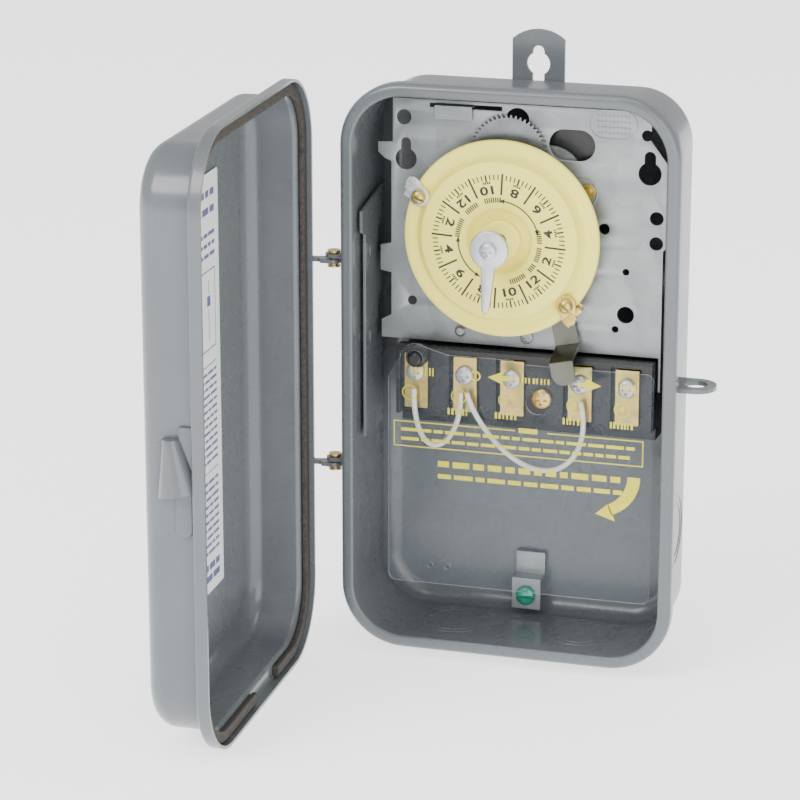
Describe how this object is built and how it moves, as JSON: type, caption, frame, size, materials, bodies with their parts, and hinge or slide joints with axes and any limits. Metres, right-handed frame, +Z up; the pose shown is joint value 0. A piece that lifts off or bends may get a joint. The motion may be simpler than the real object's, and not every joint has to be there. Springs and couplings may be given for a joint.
{
  "type": "mechanical time switch",
  "caption": "Mechanical 24-hour time switch with a turning dial, trippers and a manual lever in a deep-drawn rain-tight steel case with a hinged door.",
  "frame": {"origin": "middle of the case's flat back face, which rests on the wall", "axes": "+X right seen from the front, +Y into the wall, +Z up"},
  "size_m": [0.1855, 0.1815, 0.2463],
  "materials": {
    "grey_enamel": "satin baked enamel",
    "galvanised_steel": "zinc plated, faint spangle",
    "cream_enamel": "satin enamel",
    "zinc_casting": "as cast",
    "brass": "plated, slightly iridescent",
    "dark_steel": "oiled",
    "black_phenolic": "moulded",
    "clear_plastic": "clear sheet",
    "green_enamel": "gloss",
    "sponge_rubber": "closed-cell sponge",
    "white_paper": "printed paper",
    "white_insulation": "wire insulation"
  },
  "bodies": {
    "case": {"case_shell": "grey_enamel", "hanging_tab": "grey_enamel", "padlock_staple": "grey_enamel", "hinge_arm_upper": "grey_enamel", "hinge_arm_lower": "grey_enamel", "hinge_pin_upper": "brass", "hinge_pin_lower": "brass", "side_bracket": "grey_enamel", "ground_lug": "galvanised_steel", "ground_screw": "green_enamel", "mechanism_plate": "galvanised_steel", "plate_rivet_left": "galvanised_steel", "plate_rivet_right": "galvanised_steel", "motor_stud": "brass", "retaining_clip": "galvanised_steel", "idler_arbor": "galvanised_steel", "motor_housing": "black_phenolic", "main_shaft": "galvanised_steel", "time_pointer": "zinc_casting", "pointer_screw": "galvanised_steel", "terminal_block": "black_phenolic", "terminal_strap_a": "brass", "terminal_strap_1": "brass", "terminal_strap_2": "brass", "terminal_strap_3": "brass", "terminal_strap_4": "brass", "terminal_screw_a": "galvanised_steel", "terminal_screw_1": "galvanised_steel", "terminal_screw_2": "galvanised_steel", "terminal_screw_3": "galvanised_steel", "terminal_screw_4": "galvanised_steel", "block_screw": "brass", "shield_post": "black_phenolic", "lead_a_to_1": "white_insulation", "lead_1_to_3": "white_insulation"},
    "door": {"door_shell": "grey_enamel", "door_gasket": "sponge_rubber", "door_label": "white_paper", "door_ear_upper": "grey_enamel", "door_ear_lower": "grey_enamel"},
    "latch": {"door_latch": "grey_enamel"},
    "dial_slider": {"dial_sleeve": "brass"},
    "dial": {"clock_dial": "cream_enamel", "dial_gear": "dark_steel", "dial_nut": "cream_enamel"},
    "off_trip": {"off_tripper": "zinc_casting", "off_tripper_screw": "brass"},
    "on_trip": {"on_tripper": "brass", "on_tripper_screw": "brass"},
    "idler": {"idler_gear": "dark_steel", "idler_pinion": "brass"},
    "motor_output": {"motor_pinion": "brass", "motor_rotor": "galvanised_steel"},
    "lever": {"manual_lever": "galvanised_steel", "lever_arbor": "galvanised_steel", "switch_cam": "black_phenolic"},
    "contact_1": {"contact_arm_1": "brass"},
    "contact_2": {"contact_arm_2": "brass"},
    "shield": {"terminal_shield": "clear_plastic"}
  },
  "joints": [
    {"name": "door_hinge", "type": "hinge", "parent": "case", "child": "door", "pos_m": [-0.0718, -0.0387, 0], "axis": [0, 0, 1], "range_deg": [-92, 88]},
    {"name": "latch_lift", "type": "hinge", "parent": "door", "child": "latch", "pos_m": [-0.08695, -0.17506, 0.012], "axis": [-0.9994, -0.0349, 0], "range_deg": [0, 35]},
    {"name": "dial_pull", "type": "slide", "parent": "case", "child": "dial_slider", "axis": [0, -1, 0], "range_m": [0, 0.004]},
    {"name": "dial_turn", "type": "hinge", "parent": "dial_slider", "child": "dial", "pos_m": [-0.005, -0.029, 0.0535], "axis": [0, -1, 0], "continuous": true},
    {"name": "off_tripper_set", "type": "hinge", "parent": "dial", "child": "off_trip", "pos_m": [-0.005, -0.029, 0.0535], "axis": [0, -1, 0], "range_deg": [-60, 60]},
    {"name": "on_tripper_set", "type": "hinge", "parent": "dial", "child": "on_trip", "pos_m": [-0.005, -0.029, 0.0535], "axis": [0, -1, 0], "range_deg": [-60, 60]},
    {"name": "idler_spin", "type": "hinge", "parent": "case", "child": "idler", "pos_m": [-0.004, -0.029, 0.08543], "axis": [0, -1, 0], "continuous": true},
    {"name": "motor_spin", "type": "hinge", "parent": "case", "child": "motor_output", "pos_m": [0.01148, -0.029, 0.07595], "axis": [0, -1, 0], "continuous": true},
    {"name": "manual_lever_throw", "type": "hinge", "parent": "case", "child": "lever", "pos_m": [0.0135, -0.029, 0.045], "axis": [0, 1, 0], "range_deg": [0, 24]},
    {"name": "contact_1_swing", "type": "hinge", "parent": "case", "child": "contact_1", "pos_m": [0.0045, -0.024, 0.014], "axis": [0, 1, 0], "range_deg": [0, 6]},
    {"name": "contact_2_swing", "type": "hinge", "parent": "case", "child": "contact_2", "pos_m": [0.024, -0.024, 0.014], "axis": [0, 1, 0], "range_deg": [0, 6]},
    {"name": "shield_swing", "type": "hinge", "parent": "case", "child": "shield", "pos_m": [-0.0375, -0.043, 0.005], "axis": [0, 1, 0], "range_deg": [0, 7]}
  ],
  "couplings": [
    {"joint": "idler_spin", "follows": "dial_turn", "ratio": -9.6},
    {"joint": "motor_spin", "follows": "dial_turn", "ratio": 48},
    {"joint": "contact_1_swing", "follows": "manual_lever_throw", "ratio": 0.25},
    {"joint": "contact_2_swing", "follows": "manual_lever_throw", "ratio": 0.25}
  ]
}
